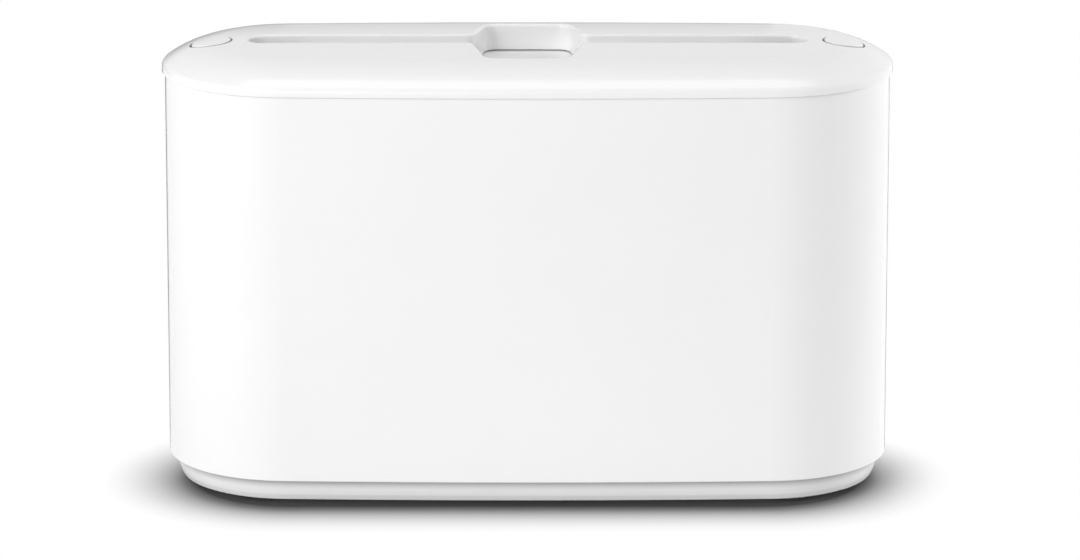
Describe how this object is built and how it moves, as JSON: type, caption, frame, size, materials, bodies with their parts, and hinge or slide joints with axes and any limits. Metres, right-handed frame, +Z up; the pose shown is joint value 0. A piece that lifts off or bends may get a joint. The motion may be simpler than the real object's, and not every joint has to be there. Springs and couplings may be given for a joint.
{
  "type": "countertop towel dispenser",
  "caption": "Oval countertop dispenser for folded paper towels, with a latched lift-off lid, a slotted finger opening and a sprung follower plate.",
  "frame": {"origin": "on the counter, under the middle of the box", "axes": "+Z up, +X along the length, front faces -Y"},
  "size_m": [0.323, 0.116, 0.1999],
  "materials": {
    "shell_white": "gloss",
    "base_white": "satin",
    "inner_plastic": "satin",
    "acetal": "smooth",
    "steel_rod": "ground",
    "spring_wire": "drawn wire",
    "screw_steel": "zinc plated",
    "foot_rubber": "matte"
  },
  "bodies": {
    "housing": {"base_tray": "base_white", "body_shell": "shell_white", "magazine_liner": "inner_plastic", "deck_frame": "inner_plastic", "guide_rod_left": "steel_rod", "guide_rod_right": "steel_rod", "lift_spring_left": "spring_wire", "lift_spring_right": "spring_wire", "rubber_feet": "foot_rubber", "base_screws": "screw_steel", "deck_screws": "screw_steel"},
    "follower": {"follower_plate": "shell_white", "guide_bush_left": "acetal", "guide_bush_right": "acetal"},
    "lid": {"lid_cover": "shell_white", "latch_bracket_left": "inner_plastic", "latch_bracket_right": "inner_plastic", "latch_screws": "screw_steel", "pawl_pin_left": "steel_rod", "pawl_pin_right": "steel_rod", "button_spring_left": "spring_wire", "button_spring_right": "spring_wire"},
    "button_left": {"release_button_left": "shell_white"},
    "button_right": {"release_button_right": "shell_white"},
    "pawl_left": {"latch_pawl_left": "inner_plastic"},
    "pawl_right": {"latch_pawl_right": "inner_plastic"}
  },
  "joints": [
    {"name": "follower_slide", "type": "slide", "parent": "housing", "child": "follower", "axis": [0, 0, 1], "range_m": [-0.136, 0], "stiffness_N_per_m": 25, "springref_m": 0.12, "deforming": ["lift_spring_left", "lift_spring_right"]},
    {"name": "lid_lift", "type": "slide", "parent": "housing", "child": "lid", "axis": [0, 0, 1], "range_m": [0, 0.1]},
    {"name": "button_left_press", "type": "slide", "parent": "lid", "child": "button_left", "axis": [0, 0, -1], "range_m": [0, 0.0025], "stiffness_N_per_m": 400, "springref_m": -0.003, "deforming": ["button_spring_left"]},
    {"name": "pawl_left_swing", "type": "hinge", "parent": "lid", "child": "pawl_left", "pos_m": [-0.15, 0, 0.183], "axis": [0, 1, 0], "range_deg": [0, 14.25]},
    {"name": "button_right_press", "type": "slide", "parent": "lid", "child": "button_right", "axis": [0, 0, -1], "range_m": [0, 0.0025], "stiffness_N_per_m": 400, "springref_m": -0.003, "deforming": ["button_spring_right"]},
    {"name": "pawl_right_swing", "type": "hinge", "parent": "lid", "child": "pawl_right", "pos_m": [0.15, 0, 0.183], "axis": [0, -1, 0], "range_deg": [0, 14.25]}
  ],
  "couplings": [
    {"joint": "pawl_left_swing", "follows": "button_left_press", "rad_per_m": 98.067},
    {"joint": "pawl_right_swing", "follows": "button_right_press", "rad_per_m": 98.067}
  ]
}
